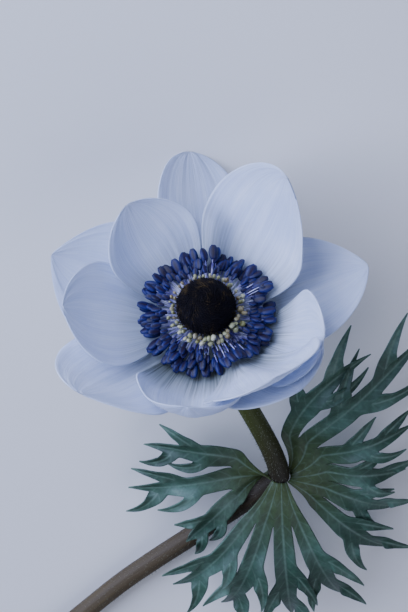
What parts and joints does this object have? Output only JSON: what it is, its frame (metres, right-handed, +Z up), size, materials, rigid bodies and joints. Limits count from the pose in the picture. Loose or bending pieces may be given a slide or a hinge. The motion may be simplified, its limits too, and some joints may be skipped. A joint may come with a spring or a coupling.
{
  "type": "cut anemone flower",
  "caption": "Cut anemone flower lying down: open head of broad white tepals round a dark domed centre and a ring of dark stamens, bent stem with a collar of deeply cut leaves",
  "frame": {"origin": "middle of the lying flower's box, on the table it rests on", "axes": "+Z up from the table; the head is at the -Y end and faces -Y and up, and the stem runs back to its cut end at +Y"},
  "size_m": [0.1112, 0.1664, 0.072],
  "materials": {
    "tepal": "soft matte, faintly silky",
    "bract": "matte, finely downy",
    "stem": "matte, finely hairy",
    "carpel_head": "matte, bristly",
    "stamen": "matte, grainy",
    "inner_stamen": "matte"
  },
  "bodies": {
    "root": {"bract_far": "bract", "bract_left": "bract", "bract_right": "bract", "carpel_head": "carpel_head", "receptacle": "stem", "stamen_inner_1": "inner_stamen", "stamen_inner_2": "inner_stamen", "stamen_inner_3": "inner_stamen", "stamen_inner_4": "inner_stamen", "stamen_inner_5": "inner_stamen", "stamen_inner_6": "inner_stamen", "stamen_inner_7": "inner_stamen", "stamen_inner_8": "inner_stamen", "stamen_middle_1": "stamen", "stamen_middle_10": "stamen", "stamen_middle_11": "stamen", "stamen_middle_12": "stamen", "stamen_middle_13": "stamen", "stamen_middle_14": "stamen", "stamen_middle_15": "stamen", "stamen_middle_16": "stamen", "stamen_middle_2": "stamen", "stamen_middle_3": "stamen", "stamen_middle_4": "stamen", "stamen_middle_5": "stamen", "stamen_middle_6": "stamen", "stamen_middle_7": "stamen", "stamen_middle_8": "stamen", "stamen_middle_9": "stamen", "stamen_outer_1": "stamen", "stamen_outer_10": "stamen", "stamen_outer_11": "stamen", "stamen_outer_12": "stamen", "stamen_outer_13": "stamen", "stamen_outer_14": "stamen", "stamen_outer_15": "stamen", "stamen_outer_16": "stamen", "stamen_outer_2": "stamen", "stamen_outer_3": "stamen", "stamen_outer_4": "stamen", "stamen_outer_5": "stamen", "stamen_outer_6": "stamen", "stamen_outer_7": "stamen", "stamen_outer_8": "stamen", "stamen_outer_9": "stamen", "stem": "stem", "tepal_inner_left": "tepal", "tepal_inner_low": "tepal", "tepal_inner_low_left": "tepal", "tepal_inner_right": "tepal", "tepal_inner_upper": "tepal", "tepal_inner_upper_right": "tepal", "tepal_outer_left": "tepal", "tepal_outer_low": "tepal", "tepal_outer_right": "tepal", "tepal_outer_upper_left": "tepal", "tepal_outer_upper_right": "tepal"}
  },
  "joints": []
}
